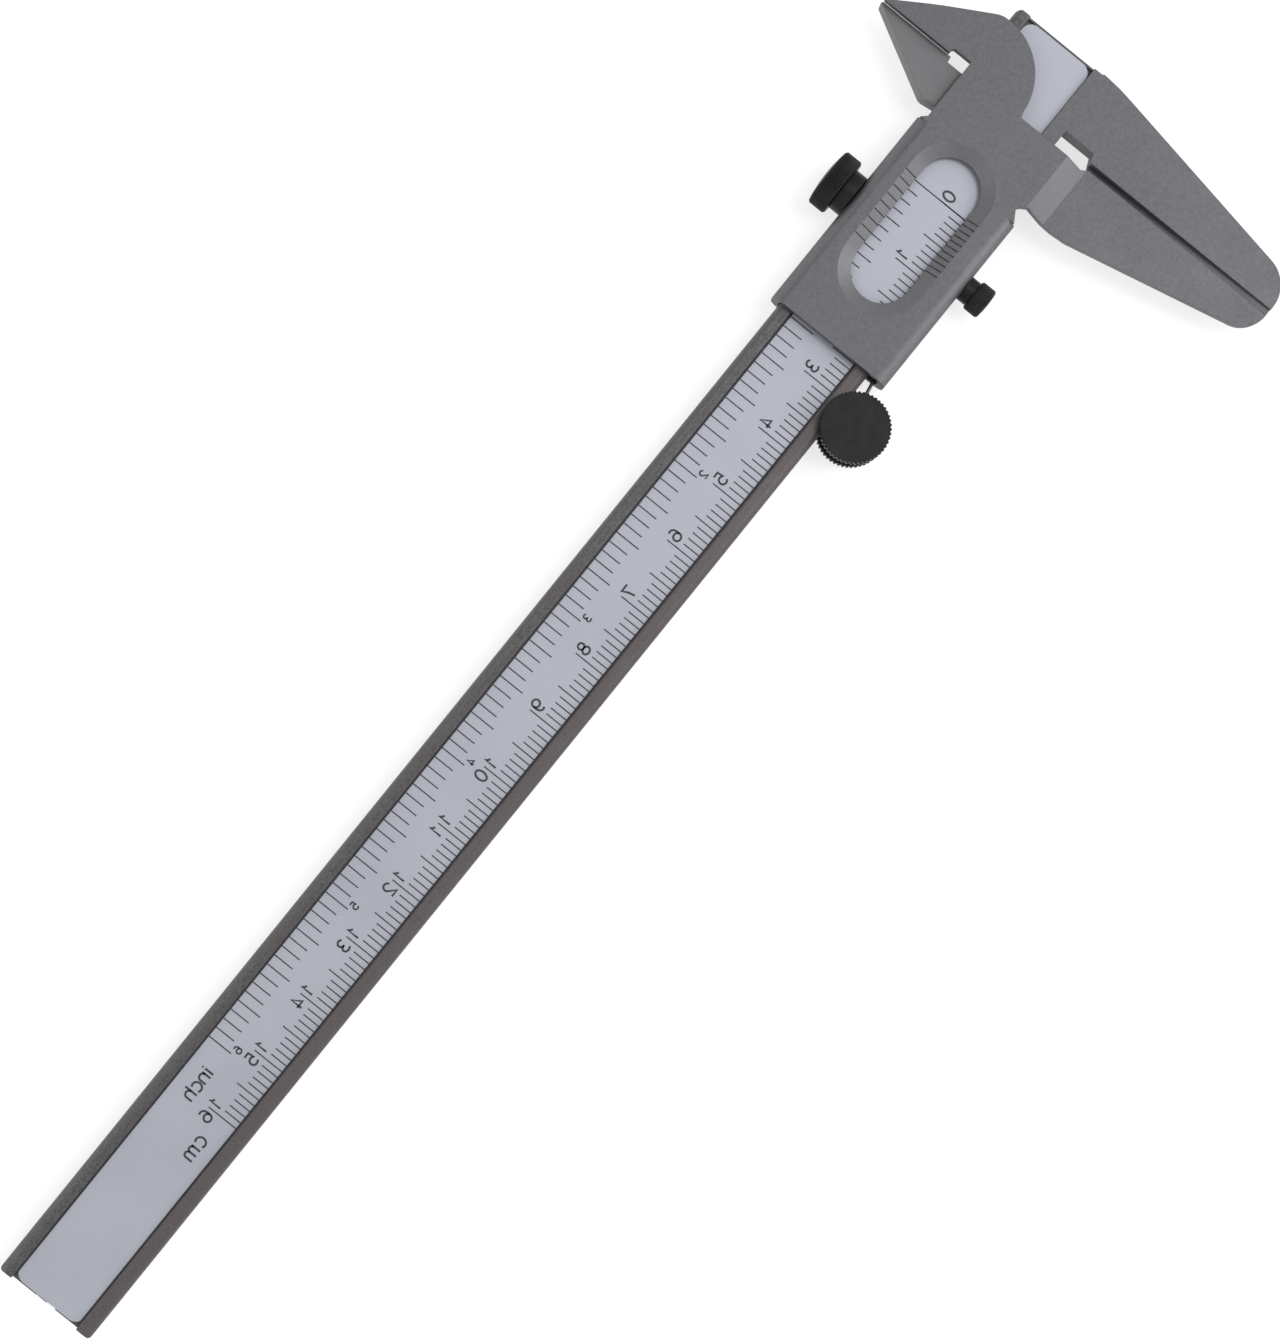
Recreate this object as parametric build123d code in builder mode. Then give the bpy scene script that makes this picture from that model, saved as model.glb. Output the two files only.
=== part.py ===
"""Vernier caliper with a folded-sheet slider, a thumb roller and a flat depth rod, in millimetres.

+X runs along the beam toward the jaw end, +Y toward the small jaws, +Z out of the scale face.
x = 0 is the measuring line of the closed jaws, y = 0 the beam's centre line, z = 0 the beam's back.
The slider is modelled closed, and opens toward -X.
"""

import os
from math import cos, radians, sin, sqrt

from build123d import *

os.makedirs("parts", exist_ok=True)

# ------------------------------------------------------------------ beam, driving dimensions
beam_width = 15.7           # across the two lips
beam_tail = 211.0           # measuring line to the far end
beam_nose = 11.3            # measuring line to the jaw end
beam_thickness = 3.2        # back face to the top of the lips
back_thickness = 1.2        # back plate, also the small fixed jaw
upper_lip = 2.1             # lip beside the inch scale
lower_lip = 2.3             # lip beside the millimetre scale
tail_corner = 0.4           # corner radius at the far end
nose_corner = 0.9           # corner radius at the jaw end
lip_crown = 0.9             # rounding of the lips, outer edge
lip_inner_crown = 0.35      # and inner edge

strip_thickness = 0.4       # loose scale strip
strip_recess = 0.6          # lip top down to the strip
strip_corner = 1.6          # corner radius of the strip
strip_gap = 0.05            # strip to lip, each side
strip_end_gap = 0.3         # strip end to beam end

# ------------------------------------------------------------------ jaws
big_jaw_reach = 45.3        # beam centre line to the tips of the big jaws
small_jaw_reach = 23.0      # beam centre line to the tips of the small jaws
jaw_gap = 0.05              # between the measuring faces of the closed jaws
fixed_jaw_shoulder = 0.2    # how far the fixed jaw swells past the nose
shoulder_depth = 2.2        # where the swelling ends, below the beam's edge
fixed_jaw_bend = 4.2        # where the jaw's straight outer edge starts, below the beam's edge
fixed_jaw_root = 11.0       # width of the fixed jaw below its shoulder
fixed_jaw_tip = 5.5         # and at its tip, before the corner is rounded
fixed_tip_corner = 5.0      # corner radius of that tip
fixed_relief = 2.1          # relief slot, on the fixed jaw's side
relief_depth = 4.9          # relief slot, below the beam's edge
relief_point = 1.0          # length of the slot's pointed end
step_width = 0.85           # step ground into the front of the fixed jaw's measuring edge
step_root_depth = 1.8       # its depth at the root
step_tip_depth = 0.5        # and at the tip
facing_overlap = 1.0        # facing plate past the measuring line, along the lip
small_jaw_width = 6.8       # root width of the small fixed jaw
small_jaw_shoulder = 3.0    # its straight foot above the beam's edge
small_jaw_notch = 0.85      # relief at the foot of its measuring edge
small_jaw_splay = 0.3       # how much narrower its foot is than its shoulder
small_tip_flat = 0.25       # blunt tips of the small jaws
jaw_root_overlap = 1.0      # jaws drawn into the beam's outline, so that they are one plate

# ------------------------------------------------------------------ slider, folded from one sheet
sheet = 1.2                 # sheet thickness
play_z = 0.15               # sheet to the beam's front and back
play_top = 0.15             # sheet to the beam's upper edge
spring_room = 1.55          # sheet to the beam's lower edge, where the spring wire lies
bend_radius = 1.7           # outside radius of the folds
slider_left = 41.1          # measuring line to the slider's left end
upper_wall_end = 9.35       # measuring line to the end of the upper wall
lower_wall_end = 12.7       # measuring line to the end of the lower wall
return_width = 4.4          # width of the folds behind the beam
neck_rise = 0.3             # bridge to the small jaw, above the beam's edge
neck_step = 0.7             # slope between the upper wall and the bridge
wall_corner = 0.3           # small corner breaks of the sheet
front_jaw_width = 8.55      # root width of the small moving jaw
front_jaw_notch = 0.8       # relief at the foot of its measuring edge
front_notch_rise = 3.45     # upper end of that relief, above the beam's edge
front_jaw_mid_width = 4.1   # width of that jaw half way up its curved edge
front_jaw_mid_drop = 6.5    # where that is, below the tip
front_jaw_foot_rise = 2.2   # where its curved edge turns upright, above the beam's edge
bridge_radius = 9.3         # round lower edge of the bridge
bridge_foot = 2.0           # where the bridge's edge meets the slider's right edge, below centre
slider_relief = 0.8         # slider's right edge back from the measuring line
joggle_start = 2.35         # where the sheet starts to step down, below the beam's edge
joggle_length = 3.3         # length of the step
joggle_drop = 1.75          # its height
joggle_bend = 0.4           # how far the step's back surface lags its front surface
moving_jaw_root = 9.75      # width of the big moving jaw near the slider
moving_jaw_tip = 3.4        # width at its tip, before the corner is rounded
moving_jaw_bulge = 0.2      # how far its edge swells beside the step
moving_tip_corner = 4.0     # corner radius of that tip
jaw_bulge_low = 4.0         # where the big jaw's straight edge starts, below the step
jaw_bulge_top = 1.5         # its widest place, below the step
notch_peak = 1.35           # top of the notch beside the big jaw, below the beam's edge
notch_peak_x = 10.7         # its place, left of the measuring line
notch_flat = 0.5            # width of the notch's round top

# ------------------------------------------------------------------ vernier window
window_left = 33.3          # measuring line to the window's left end
window_right = 10.1         # measuring line to its right end
window_height = 8.9
window_centre_y = -0.4
window_bevel = 1.9          # width of the slope that carries the vernier marks
window_edge = 0.25          # sheet left at the foot of the slope

# ------------------------------------------------------------------ screws
screw_x = 23.1              # both screws, left of the measuring line
clamp_head = 8.55           # knurled head, diameter
clamp_head_height = 2.7
clamp_dome = 0.4
clamp_head_clear = 0.1      # head to bush
clamp_bush_diameter = 6.3
clamp_bush_height = 1.8
clamp_shank = 2.9           # threaded shank, diameter
clamp_tip_gap = 0.1         # shank tip to the beam's upper edge, unclamped
thread_play = 0.05          # radial
screw_bevel = 0.25          # bevels on both screws
tension_head = 4.5
tension_head_height = 2.4
tension_bush_diameter = 3.7
tension_bush_height = 1.4
tension_shank = 1.8
tension_head_clear = 0.05
tension_dome = 0.15
tension_tip_gap = 0.25      # shank tip to the beam's lower edge

# ------------------------------------------------------------------ thumb roller and its spring wire
roller_x = 48.1             # measuring line to the roller's axis
roller_diameter = 10.0      # knurled flanges
roller_hub = 3.0            # radius that rolls along the beam's edge
roller_flange = 1.6         # thickness of the front flange
roller_rear_flange = 1.5
roller_hub_gap = 0.1        # hub to the beam's lower edge
roller_groove = 0.8         # width of the groove for the wire's eye
roller_pin = 1.6            # diameter of the riveted pin
wire = 0.5                  # spring wire, diameter
eye_play = 0.1              # radial, wire eyes on the pin's neck and on the screw
roller_neck = 3.2           # diameter of the roller inside the wire's eye
wire_exit = 1.05            # where the wire leaves the slider, below the beam's edge
wire_eye_angle = 32.0       # where the wire runs into its eye round the roller, from +X
wire_bend = 6.0             # radius of its bend at the slider's end
rim_bevel = 0.2             # bevel of the roller's rims
pin_play = 0.02             # radial, roller halves on their pin

# ------------------------------------------------------------------ depth rod
rod_width = 3.0
rod_thickness = 0.8
rod_play = 0.1              # rod to its groove, all round
rod_end_margin = 3.5        # rivet to the rod's inner end
rod_notch = 1.4             # slanted relief at the rod's tip
anchor_x = 37.0             # rivet that joins the rod to the slider
anchor_shank = 1.8
anchor_play = 0.05          # radial
anchor_head = 3.4
anchor_head_height = 0.5
tongue_width = 5.2          # tongue of the slider's sheet that takes the rivet
tongue_overlap = 0.5        # how far it reaches into the lower fold
anchor_spacer = 2.4         # outside diameter of the spacer in the beam's slot
slot_play = 0.15            # spacer to the slot, each side
tail_stop = 14.0            # from the rivet to the beam's far end, with the slider fully out

# ------------------------------------------------------------------ places worked out from the above
half = beam_width / 2
rod_inner = anchor_x - rod_end_margin
travel = beam_tail - anchor_x - tail_stop       # slider's travel
strip_top = beam_thickness - strip_recess
strip_bottom = strip_top - strip_thickness
strip_upper = half - upper_lip
strip_lower = -half + lower_lip
front_back = beam_thickness + play_z            # back of the slider's front sheet
front_face = front_back + sheet
rear_front = -play_z                            # front of the folds behind the beam
rear_face = rear_front - sheet
upper_in = half + play_top
upper_out = upper_in + sheet
lower_in = -half - spring_room
lower_out = lower_in - sheet
screw_z = (front_face + rear_face) / 2
joggle_top = -half - joggle_start
joggle_foot = joggle_top - joggle_length
neck_top = half + neck_rise
front_notch_top = half + front_notch_rise
roller_y = -half - roller_hub_gap - roller_hub
wire_exit_y = -half - wire_exit
groove_height = rod_thickness + 2 * rod_play
rod_bottom = back_thickness + rod_play


def box_between(x0, x1, y0, y1, mode=Mode.ADD):
    """Rectangle from its sides, in the current sketch."""
    with Locations(((x0 + x1) / 2, (y0 + y1) / 2)):
        return Rectangle(x1 - x0, y1 - y0, mode=mode)


def plane_at_y(y):
    """Plane across the screws: local x is +X and local y is +Z. It faces -Y."""
    return Plane.XZ.offset(-y)


# ================================================================== beam body
relief_end = -half - relief_depth
jaw_outer_edge = (                              # from the nose down to the tip and back to the face
    (beam_nose, -half + jaw_root_overlap),
    (beam_nose + fixed_jaw_shoulder, -half + jaw_root_overlap - small_jaw_splay),
    (beam_nose, -half - shoulder_depth),
    (fixed_jaw_root, -half - fixed_jaw_bend),
    (fixed_jaw_tip, -big_jaw_reach),
    (0, -big_jaw_reach),
    (0, relief_end - relief_point),
    (fixed_relief, relief_end),
)


def round_fixed_tip(outline):
    """Round the outer corner of the fixed jaw's tip, in the sketch given."""
    tip = outline.vertices().sort_by_distance((fixed_jaw_tip, -big_jaw_reach))[0]
    fillet(tip, fixed_tip_corner)


with BuildPart() as beam_frame:
    # lips, rounded along their tops
    lip_runs = (
        (strip_upper, half, beam_nose),
        (-half, strip_lower, -facing_overlap),
    )
    for y_low, y_high, lip_end in lip_runs:
        with BuildSketch(Plane.YZ.offset(-beam_tail)) as lip:
            box_between(y_low, y_high, back_thickness, beam_thickness)
            crown = lip.vertices().group_by(Axis.Y)[-1].sort_by(Axis.X)
            inner, outer = (crown[0], crown[-1]) if y_low > 0 else (crown[-1], crown[0])
            fillet(inner, lip_inner_crown)
            fillet(lip.vertices().sort_by_distance(outer.center())[0], lip_crown)
        extrude(amount=beam_tail + lip_end)
    with BuildSketch(Plane.XY) as beam_outline:
        box_between(-beam_tail, beam_nose, -half, half)
        fillet(beam_outline.vertices().group_by(Axis.X)[0], tail_corner)
        fillet(beam_outline.vertices().sort_by_distance((beam_nose, half))[0], nose_corner)
    extrude(amount=beam_thickness, mode=Mode.INTERSECT)
    with BuildSketch(Plane.XY):
        with BuildLine() as small_fixed_jaw:
            Polyline(
                (-small_jaw_width + small_jaw_splay, half - jaw_root_overlap),
                (-small_jaw_width + small_jaw_splay, half + small_jaw_splay),
                (-small_jaw_width, half + small_jaw_shoulder - 2 * small_jaw_splay),
                (-small_jaw_width + small_jaw_splay / 3, half + small_jaw_shoulder),
                (-small_tip_flat, small_jaw_reach),
                (0, small_jaw_reach - small_tip_flat),
                (0, half + small_jaw_shoulder),
                (-small_jaw_notch, half + small_jaw_shoulder),
                (-small_jaw_notch, half - jaw_root_overlap),
                close=True,
            )
        make_face()
    extrude(amount=beam_thickness)
    with BuildSketch(Plane.XY) as back_plate:
        add(beam_outline.sketch)
        with BuildLine() as big_fixed_jaw:
            Polyline((fixed_relief, -half + jaw_root_overlap), *jaw_outer_edge, close=True)
        make_face()
        round_fixed_tip(back_plate)
    extrude(amount=back_thickness)
    with BuildSketch(Plane.XY.offset(back_thickness)):
        box_between(beam_nose - strip_end_gap, beam_nose, strip_lower, strip_upper)
    extrude(amount=strip_top - back_thickness)
    # slot that the depth rod's rivet runs in
    slot_half = anchor_spacer / 2 + slot_play
    slot_end = anchor_x + travel + slot_half
    with BuildSketch(Plane.XY):
        box_between(-slot_end, -anchor_x + slot_half, -slot_half, slot_half)
    extrude(amount=back_thickness, mode=Mode.SUBTRACT)
beam_frame.part.label = "beam_frame"

# plate that brings the big fixed jaw up to the level of the lips
with BuildPart() as fixed_jaw_facing:
    with BuildSketch(Plane.XY.offset(back_thickness)) as facing:
        with BuildLine() as facing_outline:
            Polyline(
                (-facing_overlap, strip_lower),
                (beam_nose, strip_lower),
                *jaw_outer_edge,
                (fixed_relief, -half),
                (-facing_overlap, -half),
                close=True,
            )
        make_face()
        round_fixed_tip(facing)
    extrude(amount=beam_thickness - back_thickness)
    # step along the measuring edge, shallower toward the tip
    with BuildSketch(Plane.YZ):
        with BuildLine():
            Polyline(
                (relief_end, beam_thickness),
                (relief_end, beam_thickness - step_root_depth),
                (-big_jaw_reach, beam_thickness - step_tip_depth),
                (-big_jaw_reach, beam_thickness),
                close=True,
            )
        make_face()
    extrude(amount=step_width, mode=Mode.SUBTRACT)
fixed_jaw_facing.part.label = "fixed_jaw_facing"

# bed that carries the scale strip, grooved along its back for the depth rod
bed_end = beam_nose - strip_end_gap
groove_half = rod_width / 2 + rod_play
with BuildPart() as scale_bed:
    with BuildSketch(Plane.XY.offset(back_thickness)):
        box_between(-beam_tail, bed_end, strip_lower, strip_upper)
    extrude(amount=strip_bottom - back_thickness)
    with BuildSketch(Plane.XY.offset(back_thickness)):
        box_between(-beam_tail, -rod_inner + rod_play, -groove_half, groove_half)
    extrude(amount=groove_height, mode=Mode.SUBTRACT)
scale_bed.part.label = "scale_bed"

with BuildPart() as scale_strip:
    with BuildSketch(Plane.XY.offset(strip_bottom)) as strip_outline:
        box_between(-beam_tail + strip_end_gap, bed_end, strip_lower + strip_gap, strip_upper - strip_gap)
        fillet(strip_outline.vertices(), strip_corner)
    extrude(amount=strip_thickness)
scale_strip.part.label = "scale_strip"

# ================================================================== slider body
jaw_face = front_face - joggle_drop
with BuildPart() as slider_frame:
    # side view of the flat sheet: front plate, joggle, big moving jaw
    with BuildSketch(Plane.YZ.offset(-slider_left)):
        with BuildLine() as side_view:
            Polyline(
                (small_jaw_reach, front_face),
                (joggle_top, front_face),
                (joggle_foot, jaw_face),
                (-big_jaw_reach, jaw_face),
                (-big_jaw_reach, jaw_face - sheet),
                (joggle_foot + joggle_bend, jaw_face - sheet),
                (joggle_top + joggle_bend, front_back),
                (small_jaw_reach, front_back),
                close=True,
            )
        make_face()
    extrude(amount=slider_left + front_jaw_width)
    # plan outline of the sheet
    with BuildSketch(Plane.XY) as plan:
        with BuildLine() as plan_outline:
            Polyline(
                (-slider_left, lower_out + bend_radius),
                (-slider_left, upper_out - bend_radius),
                (-upper_wall_end, upper_out - bend_radius),
                (-upper_wall_end, upper_out - wall_corner),
                (-upper_wall_end + neck_step, neck_top),
                (front_jaw_notch, neck_top),
                (front_jaw_notch, front_notch_top - wall_corner),
                (front_jaw_notch - wall_corner, front_notch_top),
                (0, front_notch_top),
                (0, small_jaw_reach - small_tip_flat),
                (small_tip_flat, small_jaw_reach - 2 * small_tip_flat),
            )
            Spline(
                (small_tip_flat, small_jaw_reach - 2 * small_tip_flat),
                (front_jaw_mid_width, small_jaw_reach - front_jaw_mid_drop),
                (front_jaw_width - neck_step, half + front_jaw_foot_rise),
                (front_jaw_width, half),
                tangents=((front_jaw_mid_width, -front_jaw_mid_drop), (0, -1)),
            )
            RadiusArc((front_jaw_width, half), (0, -bridge_foot + wall_corner), bridge_radius)
            Polyline(
                (0, -bridge_foot + wall_corner),
                (-slider_relief, -bridge_foot),
                (-slider_relief, relief_end),
                (-jaw_gap, relief_end - relief_point),
                (-jaw_gap, -big_jaw_reach),
                (-moving_jaw_tip, -big_jaw_reach),
                (-moving_jaw_root, joggle_foot - jaw_bulge_low),
                (-moving_jaw_root - moving_jaw_bulge, joggle_foot - jaw_bulge_top),
                (-moving_jaw_root, joggle_top - moving_jaw_bulge),
                (-notch_peak_x + notch_flat / 2, -half - notch_peak - wall_corner),
                (-notch_peak_x - notch_flat / 2, -half - notch_peak),
                (-lower_wall_end, lower_out + wall_corner),
                (-lower_wall_end, lower_out + bend_radius),
                (-slider_left, lower_out + bend_radius),
            )
        make_face()
        moving_tip = plan.vertices().sort_by_distance((-moving_jaw_tip, -big_jaw_reach))[0]
        fillet(moving_tip, moving_tip_corner)
    extrude(amount=front_face, mode=Mode.INTERSECT)
    # folds round the beam's edges
    fold_height = upper_out - lower_out
    fold_middle = (upper_out + lower_out) / 2
    folds = (
        (lower_wall_end, lower_out, fold_middle),
        (upper_wall_end, fold_middle, upper_out),
    )
    for wall_end, y_low, y_high in folds:
        with BuildSketch(Plane.YZ.offset(-slider_left)):
            with Locations((fold_middle, screw_z)):
                RectangleRounded(fold_height, front_face - rear_face, bend_radius)
                RectangleRounded(
                    fold_height - 2 * sheet,
                    front_back - rear_front,
                    bend_radius - sheet,
                    mode=Mode.SUBTRACT,
                )
            box_between(
                lower_out + return_width, upper_out - return_width, rear_face, rear_front, Mode.SUBTRACT
            )
            box_between(y_low, y_high, rear_face, front_face, Mode.INTERSECT)
        extrude(amount=slider_left - wall_end)
    # tongue behind the beam, for the depth rod's rivet
    with BuildSketch(Plane.XY.offset(rear_face)):
        box_between(
            -anchor_x - tongue_width / 2,
            -anchor_x + tongue_width / 2,
            lower_out + return_width - tongue_overlap,
            tongue_width / 2,
        )
    extrude(amount=sheet)
    with Locations((-anchor_x, 0, rear_face)):
        Cylinder(anchor_shank / 2 + anchor_play, 4 * sheet, mode=Mode.SUBTRACT)
    # vernier window with a sloping rim
    window_length = window_left - window_right
    window_middle = (-(window_left + window_right) / 2, window_centre_y)
    with BuildSketch(Plane.XY.offset(front_back)):
        with Locations(window_middle):
            SlotOverall(window_length, window_height)
    extrude(amount=sheet, mode=Mode.SUBTRACT)
    rims = ((front_back + window_edge, 0), (front_face, window_bevel))
    for height, grow in rims:
        with BuildSketch(Plane.XY.offset(height)):
            with Locations(window_middle):
                SlotOverall(window_length + 2 * grow, window_height + 2 * grow)
    loft(ruled=True, mode=Mode.SUBTRACT)
    # holes for the two screws
    with BuildSketch(plane_at_y(upper_out)):
        with Locations((-screw_x, screw_z)):
            Circle(clamp_shank / 2 + thread_play)
    extrude(amount=sheet, mode=Mode.SUBTRACT)
    with BuildSketch(plane_at_y(lower_in)):
        with Locations((-screw_x, screw_z)):
            Circle(tension_shank / 2 + thread_play)
    extrude(amount=sheet, mode=Mode.SUBTRACT)
slider_frame.part.label = "slider_frame"


# ------------------------------------------------------------------ screws and their bushes
screw_axis = Axis((-screw_x, 0, screw_z), (0, 1, 0))


def screw_outline(tip, under_head, head_top, shank, head, dome):
    """Half outline of a knurled screw along Y, in the plane of its axis."""
    out = 1 if head_top > tip else -1
    face_radius = head / 2 - screw_bevel
    dome_radius = (face_radius**2 + dome**2) / (2 * dome)
    half_way = dome - dome_radius + sqrt(dome_radius**2 - (face_radius / 2) ** 2)
    with BuildLine() as outline:
        Polyline(
            (-screw_x, head_top + out * dome),
            (-screw_x, tip),
            (-screw_x + shank / 2 - screw_bevel, tip),
            (-screw_x + shank / 2, tip + out * screw_bevel),
            (-screw_x + shank / 2, under_head),
            (-screw_x + face_radius, under_head),
            (-screw_x + head / 2, under_head + out * screw_bevel),
            (-screw_x + head / 2, head_top - out * screw_bevel),
            (-screw_x + face_radius, head_top),
        )
        ThreePointArc(
            (-screw_x + face_radius, head_top),
            (-screw_x + face_radius / 2, head_top + out * half_way),
            (-screw_x, head_top + out * dome),
        )
    return outline.edges()


bush_top = upper_out + clamp_bush_height
with BuildPart() as clamp_bush:
    with BuildSketch(plane_at_y(bush_top)):
        with Locations((-screw_x, screw_z)):
            Circle(clamp_bush_diameter / 2)
            Circle(clamp_shank / 2 + thread_play, mode=Mode.SUBTRACT)
    extrude(amount=clamp_bush_height)
clamp_bush.part.label = "clamp_bush"

clamp_under_head = bush_top + clamp_head_clear
with BuildPart() as clamp_screw:
    clamp_outline = screw_outline(
        half + clamp_tip_gap,
        clamp_under_head,
        clamp_under_head + clamp_head_height,
        clamp_shank,
        clamp_head,
        clamp_dome,
    )
    with BuildSketch(Plane.XY.offset(screw_z)):
        make_face(clamp_outline)
    revolve(axis=screw_axis)
clamp_screw.part.label = "clamp_screw"

bush_bottom = lower_out - tension_bush_height
with BuildPart() as tension_bush:
    with BuildSketch(plane_at_y(lower_out)):
        with Locations((-screw_x, screw_z)):
            Circle(tension_bush_diameter / 2)
            Circle(tension_shank / 2 + thread_play, mode=Mode.SUBTRACT)
    extrude(amount=tension_bush_height)
tension_bush.part.label = "tension_bush"

tension_under_head = bush_bottom - tension_head_clear
with BuildPart() as tension_screw:
    tension_outline = screw_outline(
        -half - tension_tip_gap,
        tension_under_head,
        tension_under_head - tension_head_height,
        tension_shank,
        tension_head,
        tension_dome,
    )
    with BuildSketch(Plane.XY.offset(screw_z)):
        make_face(tension_outline)
    revolve(axis=screw_axis)
tension_screw.part.label = "tension_screw"

# ------------------------------------------------------------------ thumb roller
groove_low = screw_z - roller_groove / 2
groove_high = screw_z + roller_groove / 2


def disc(z0, z1, radius, mode=Mode.ADD):
    """Round plate about the roller's axis, from z0 to z1, in the current part."""
    with Locations((-roller_x, roller_y, z0)):
        Cylinder(radius, z1 - z0, align=(Align.CENTER, Align.CENTER, Align.MIN), mode=mode)


pin_bore = roller_pin / 2 + pin_play
pin_top = front_back + roller_flange / 2
with BuildPart() as roller_front:
    disc(groove_low, groove_high, roller_neck / 2)
    disc(groove_high, front_back, roller_hub)
    disc(front_back, front_back + roller_flange, roller_diameter / 2)
    rim = roller_front.edges().filter_by(GeomType.CIRCLE).group_by(Axis.Z)[-1]
    chamfer(rim, rim_bevel)
    disc(groove_low, pin_top, pin_bore, Mode.SUBTRACT)
roller_front.part.label = "roller_front"

rear_flange_face = rear_front - roller_rear_flange
with BuildPart() as roller_rear:
    disc(rear_front, groove_low, roller_hub)
    disc(rear_flange_face, rear_front, roller_diameter / 2)
    rim = roller_rear.edges().filter_by(GeomType.CIRCLE).group_by(Axis.Z)[0]
    chamfer(rim, rim_bevel)
    disc(rear_flange_face, groove_low, pin_bore, Mode.SUBTRACT)
roller_rear.part.label = "roller_rear"

with BuildPart() as roller_pin_piece:
    disc(rear_flange_face, pin_top, roller_pin / 2)
roller_pin_piece.part.label = "roller_pin"

# ------------------------------------------------------------------ spring wire that carries the roller
wire_y = (lower_in - half) / 2
screw_eye = tension_shank / 2 + eye_play + wire / 2
roller_eye = roller_neck / 2 + eye_play + wire / 2
eye_meet = radians(wire_eye_angle)
with BuildPart() as spring_wire:
    with BuildLine(Plane.XY.offset(screw_z)) as route:
        FilletPolyline(
            (-screw_x - screw_eye, wire_y),
            (-slider_left, wire_exit_y),
            (-roller_x + roller_eye * cos(eye_meet), roller_y + roller_eye * sin(eye_meet)),
            radius=wire_bend,
        )
    with BuildSketch(Plane(origin=route.line @ 0, z_dir=route.line % 0)):
        Circle(wire / 2)
    sweep(path=route.line)
    with Locations(Location((-screw_x, wire_y, screw_z), (90, 0, 0))):
        Torus(screw_eye, wire / 2)
    with Locations((-roller_x, roller_y, screw_z)):
        Torus(roller_eye, wire / 2)
spring_wire.part.label = "spring_wire"

# ------------------------------------------------------------------ depth rod
with BuildPart() as depth_rod:
    with BuildSketch(Plane.XY.offset(rod_bottom)):
        with BuildLine():
            Polyline(
                (-rod_inner, rod_width / 2),
                (-beam_tail, rod_width / 2),
                (-beam_tail, -rod_width / 2 + rod_notch),
                (-beam_tail + 2 * rod_notch, -rod_width / 2),
                (-rod_inner, -rod_width / 2),
                close=True,
            )
        make_face()
        with Locations((-anchor_x, 0)):
            Circle(anchor_shank / 2 + anchor_play, mode=Mode.SUBTRACT)
    extrude(amount=rod_thickness)
depth_rod.part.label = "depth_rod"

with BuildPart() as depth_rod_spacer:
    with BuildSketch(Plane.XY.offset(rear_front)):
        with Locations((-anchor_x, 0)):
            Circle(anchor_spacer / 2)
            Circle(anchor_shank / 2 + anchor_play, mode=Mode.SUBTRACT)
    extrude(amount=rod_bottom - rear_front)
depth_rod_spacer.part.label = "depth_rod_spacer"

with BuildPart() as depth_rod_rivet:
    with BuildSketch(Plane.XY.offset(rear_face - anchor_head_height)):
        with Locations((-anchor_x, 0)):
            Circle(anchor_head / 2)
    extrude(amount=anchor_head_height)
    chamfer(depth_rod_rivet.edges().group_by(Axis.Z)[0], anchor_head_height / 2)
    with BuildSketch(Plane.XY.offset(rear_face)):
        with Locations((-anchor_x, 0)):
            Circle(anchor_shank / 2)
    extrude(amount=rod_bottom + rod_thickness - rear_face)
depth_rod_rivet.part.label = "depth_rod_rivet"

# ================================================================== one STEP file per piece
pieces = (
    beam_frame,
    fixed_jaw_facing,
    scale_bed,
    scale_strip,
    slider_frame,
    clamp_bush,
    clamp_screw,
    tension_bush,
    tension_screw,
    roller_front,
    roller_rear,
    roller_pin_piece,
    spring_wire,
    depth_rod,
    depth_rod_spacer,
    depth_rod_rivet,
)
for piece in pieces:
    export_step(piece.part, f"parts/{piece.part.label}.step")
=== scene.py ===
"""Vernier caliper: finishes, graduations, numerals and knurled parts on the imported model."""

from math import pi, radians

import bpy
import numpy as np
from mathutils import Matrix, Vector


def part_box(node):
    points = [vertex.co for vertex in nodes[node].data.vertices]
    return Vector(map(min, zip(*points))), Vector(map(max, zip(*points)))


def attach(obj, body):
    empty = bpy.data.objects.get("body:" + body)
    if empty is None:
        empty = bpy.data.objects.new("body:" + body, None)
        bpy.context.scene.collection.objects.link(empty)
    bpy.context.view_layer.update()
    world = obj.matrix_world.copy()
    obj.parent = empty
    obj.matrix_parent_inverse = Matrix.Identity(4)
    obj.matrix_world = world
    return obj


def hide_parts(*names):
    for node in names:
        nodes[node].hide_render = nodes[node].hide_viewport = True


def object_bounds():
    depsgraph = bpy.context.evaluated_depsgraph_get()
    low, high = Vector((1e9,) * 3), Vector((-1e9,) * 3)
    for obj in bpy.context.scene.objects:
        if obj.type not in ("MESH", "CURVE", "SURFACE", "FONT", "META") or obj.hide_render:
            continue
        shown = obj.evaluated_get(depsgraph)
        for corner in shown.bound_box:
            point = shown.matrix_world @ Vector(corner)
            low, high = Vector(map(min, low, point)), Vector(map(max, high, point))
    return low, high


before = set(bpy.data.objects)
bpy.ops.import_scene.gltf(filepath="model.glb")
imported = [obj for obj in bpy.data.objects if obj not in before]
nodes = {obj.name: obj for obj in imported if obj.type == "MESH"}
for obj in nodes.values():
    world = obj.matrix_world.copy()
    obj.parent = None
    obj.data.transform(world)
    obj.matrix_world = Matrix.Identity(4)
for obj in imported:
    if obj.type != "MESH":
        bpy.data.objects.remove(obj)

cad_low, cad_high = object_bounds()
mm = 0.001


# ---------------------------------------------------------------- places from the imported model
strip_low, strip_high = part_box("scale_strip")
roller_low, roller_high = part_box("roller_front")
rear_low, rear_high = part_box("roller_rear")
clamp_low, clamp_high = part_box("clamp_screw")
tension_low, tension_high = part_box("tension_screw")

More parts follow.
